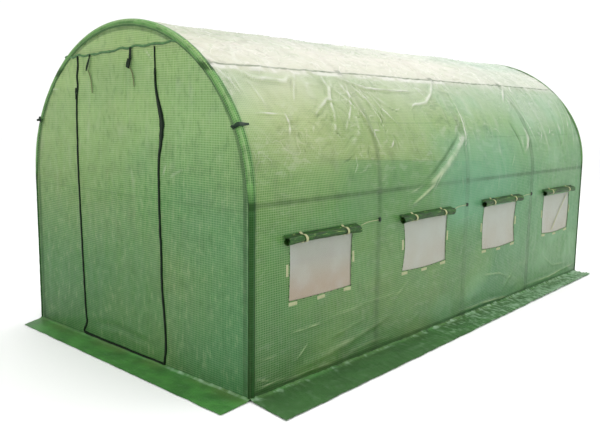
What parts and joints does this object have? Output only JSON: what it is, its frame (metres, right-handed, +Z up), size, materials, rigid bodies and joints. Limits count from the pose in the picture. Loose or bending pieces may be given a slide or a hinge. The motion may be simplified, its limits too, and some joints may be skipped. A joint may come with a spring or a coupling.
{
  "type": "polytunnel greenhouse",
  "caption": "Walk-in garden tunnel: tube arches under a green film cover with a zipped door, mesh windows with rolled flaps, and ground flaps",
  "frame": {"origin": "middle of the footprint, on the ground", "axes": "+Z up, the door gable faces -Y, the ridge runs along Y"},
  "size_m": [2.56, 4.414, 1.8527],
  "materials": {
    "tube_steel": "dull green coated steel tube",
    "fitting_plastic": "moulded dark green plastic",
    "cover_film": "reinforced translucent film with a grid of threads",
    "skirt_film": "opaque green woven film",
    "roll_film": "rolled green film",
    "net_mesh": "fine pale insect mesh",
    "webbing": "cream woven webbing",
    "zip_tape": "black zip tape",
    "clip_plastic": "moulded black plastic"
  },
  "bodies": {
    "root": {"arch_front": "tube_steel", "arch_second": "tube_steel", "arch_middle": "tube_steel", "arch_fourth": "tube_steel", "arch_rear": "tube_steel", "legs_left": "tube_steel", "legs_right": "tube_steel", "ridge_purlin": "tube_steel", "upper_purlin_left": "tube_steel", "upper_purlin_right": "tube_steel", "waist_purlin_left": "tube_steel", "waist_purlin_right": "tube_steel", "base_rail_left": "tube_steel", "base_rail_right": "tube_steel", "front_crossbar": "tube_steel", "rear_crossbar": "tube_steel", "waist_fittings": "fitting_plastic", "foot_fittings": "fitting_plastic", "upper_fittings": "fitting_plastic", "ridge_fittings": "fitting_plastic", "crossbar_fittings": "fitting_plastic", "wall_tabs": "fitting_plastic", "cover_roof": "cover_film", "cover_shoulder_left": "cover_film", "cover_shoulder_right": "cover_film", "cover_wall_left": "cover_film", "cover_wall_right": "cover_film", "cover_front_left": "cover_film", "cover_front_right": "cover_film", "cover_front_top": "cover_film", "door_panel": "cover_film", "cover_rear": "cover_film", "skirt_left": "skirt_film", "skirt_right": "skirt_film", "skirt_front": "skirt_film", "skirt_rear": "skirt_film", "window_rolls_left": "roll_film", "window_rolls_right": "roll_film", "front_header_band": "roll_film", "window_nets": "net_mesh", "roll_ties": "webbing", "net_patches": "webbing", "door_zips": "zip_tape", "door_ties": "zip_tape", "cover_clips": "clip_plastic"}
  },
  "joints": []
}
